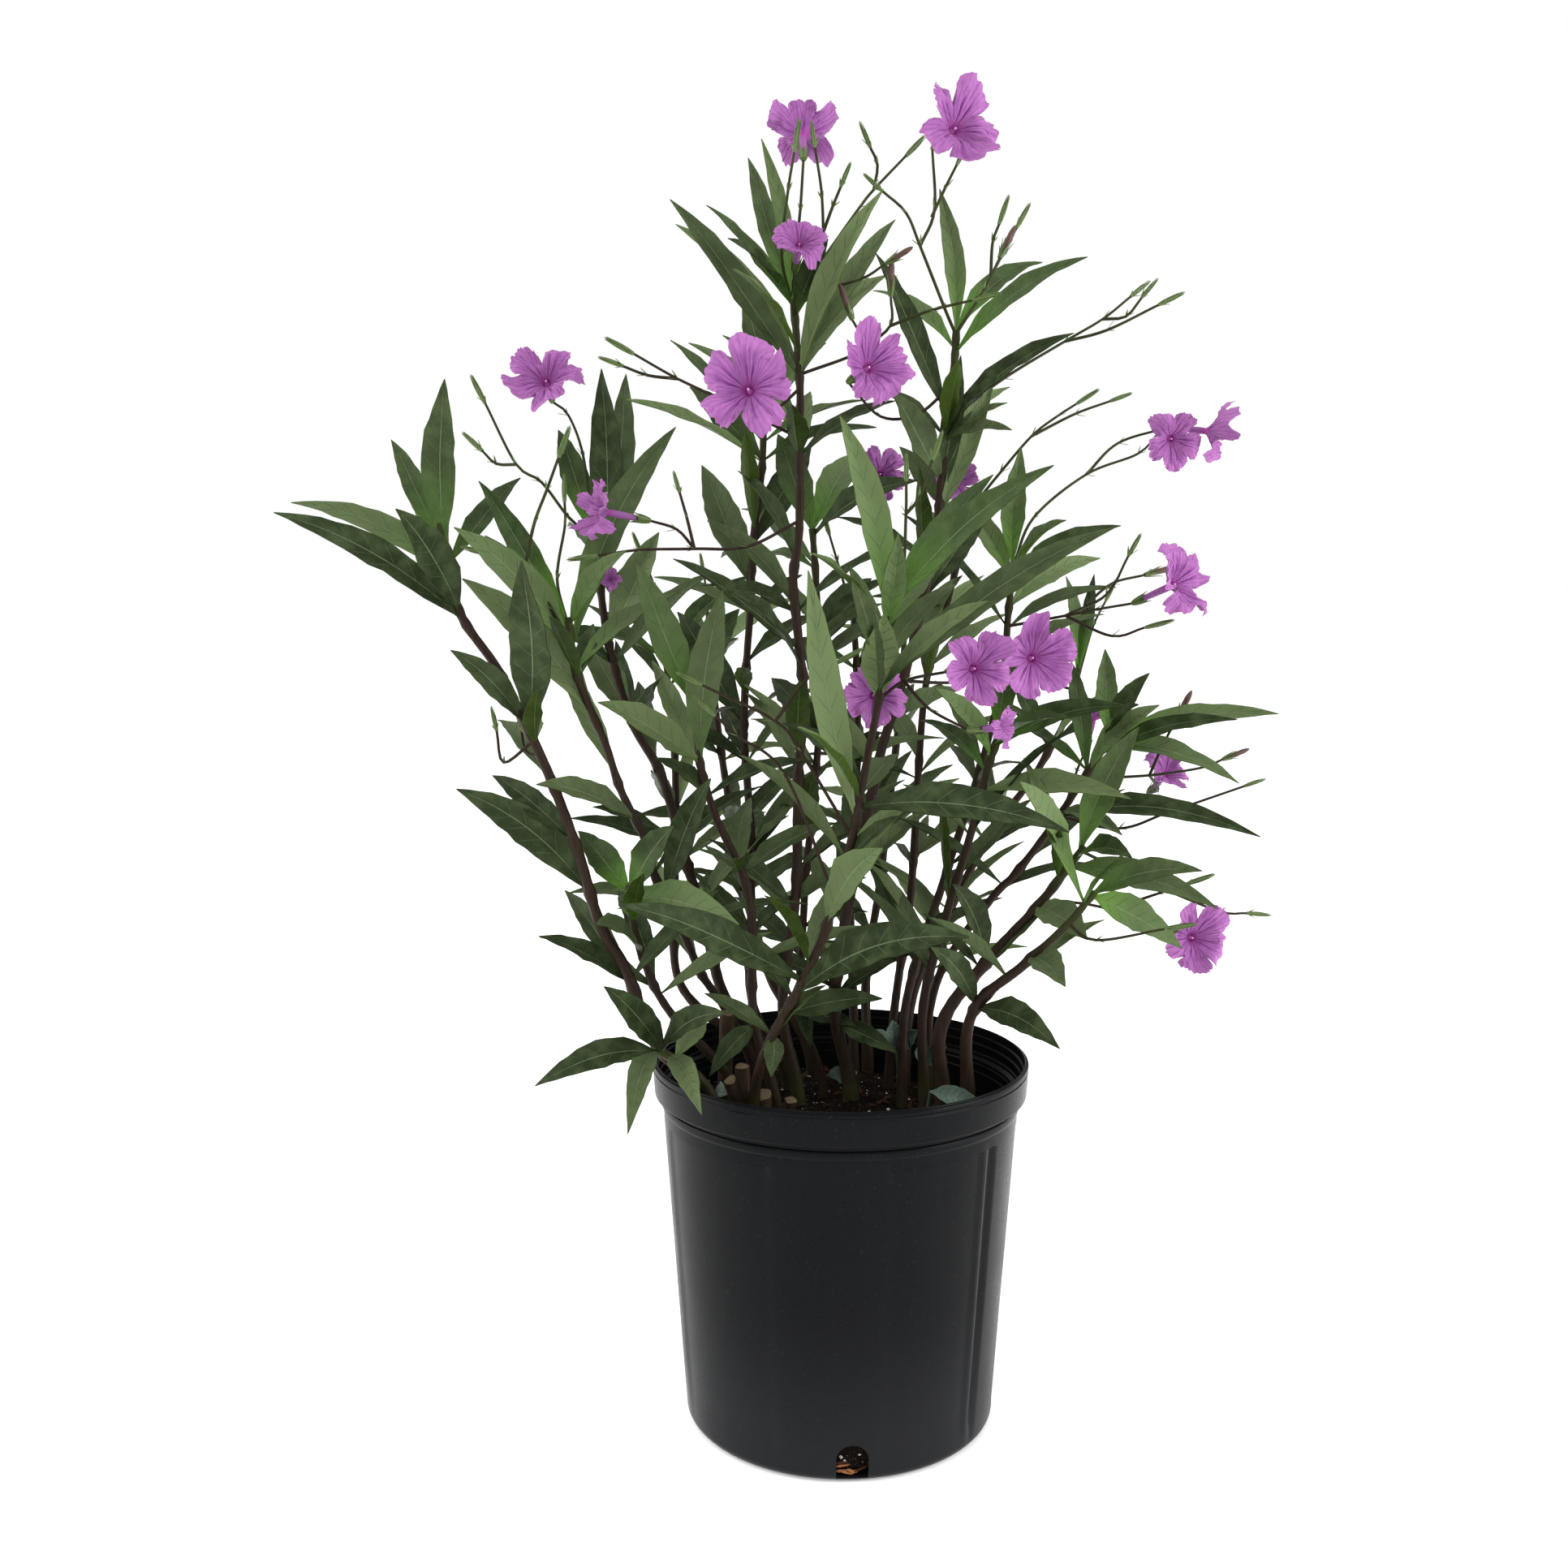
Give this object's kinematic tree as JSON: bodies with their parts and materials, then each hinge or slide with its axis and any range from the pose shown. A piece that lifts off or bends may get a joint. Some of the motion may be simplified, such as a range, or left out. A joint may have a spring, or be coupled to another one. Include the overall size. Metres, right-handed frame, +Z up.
{
  "type": "potted flowering perennial",
  "caption": "Leafy violet-flowered perennial with slim upright stems, standing in soil in a black nursery pot.",
  "frame": {"origin": "centre of the pot's flat foot, on the floor", "axes": "+Z up the plant, -Y towards the front that most blooms face, +X to the right seen from the front"},
  "size_m": [0.6741, 0.4457, 0.9324],
  "materials": {
    "pot_plastic": "satin",
    "potting_soil": "matte",
    "foliage": "satin",
    "petal": "matte"
  },
  "bodies": {
    "root": {"pot": "pot_plastic", "soil": "potting_soil", "stem_rim_left": "foliage", "stem_left_short": "foliage", "stem_left_bend": "foliage", "stem_left_tall": "foliage", "stem_left_back": "foliage", "stem_mid_left": "foliage", "stem_mid_dark": "foliage", "stem_tall_centre": "foliage", "stem_second_centre": "foliage", "stem_front": "foliage", "stem_tall_right": "foliage", "stem_back_centre": "foliage", "stem_right_back": "foliage", "stem_right_upper": "foliage", "stem_right_fan": "foliage", "stem_right_long": "foliage", "stem_right_low": "foliage", "stem_right_reach": "foliage", "stem_right_rear": "foliage", "stem_back_left": "foliage", "stem_back_right": "foliage", "stem_rim_shoot": "foliage", "bloom_01": "petal", "bloom_02": "petal", "bloom_03": "petal", "bloom_04": "petal", "bloom_05": "petal", "bloom_06": "petal", "bloom_07": "petal", "bloom_08": "petal", "bloom_09": "petal", "bloom_10": "petal", "bloom_11": "petal", "bloom_12": "petal", "bloom_13": "petal", "bloom_14": "petal", "bloom_15": "petal", "bloom_16": "petal", "bloom_17": "petal", "bloom_18": "petal", "bloom_19": "petal", "bloom_20": "petal", "bloom_21": "petal", "bloom_22": "petal"}
  },
  "joints": []
}
